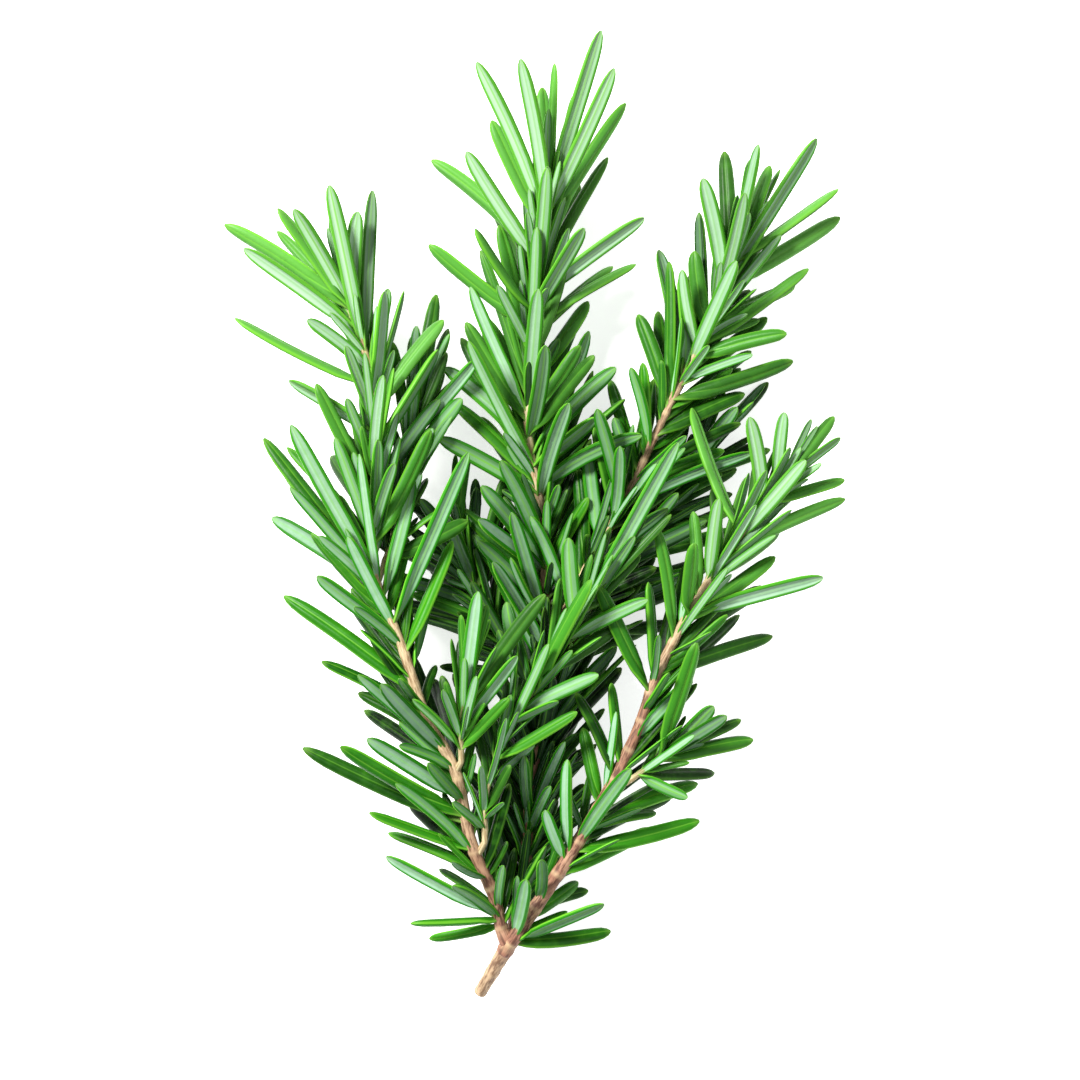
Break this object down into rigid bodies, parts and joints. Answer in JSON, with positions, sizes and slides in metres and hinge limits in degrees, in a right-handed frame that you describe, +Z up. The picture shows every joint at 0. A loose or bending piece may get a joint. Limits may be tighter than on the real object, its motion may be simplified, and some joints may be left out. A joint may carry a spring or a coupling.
{
  "type": "rosemary sprig",
  "caption": "Freshly cut rosemary sprig: a short woody stem forking into leafy branches with narrow leathery leaves, lying on a level surface.",
  "frame": {"origin": "middle of the sprig's outline, on the level surface that it lies on", "axes": "+Y along the sprig from its cut end to its tips, +X to its right seen from above, +Z up from the surface"},
  "size_m": [0.11, 0.1726, 0.0345],
  "materials": {
    "bark": "matt, woody",
    "leaf": "waxy green above, pale and felted below"
  },
  "bodies": {
    "root": {"stem_base": "bark", "branch_right": "leaf", "branch_left": "leaf", "branch_centre": "leaf", "branch_upper_right": "leaf", "shoot_left_inner": "leaf", "shoot_middle": "leaf", "shoot_left_upper": "leaf", "shoot_right_low": "leaf", "back_shoot_left": "leaf", "back_shoot_right": "leaf"}
  },
  "joints": []
}
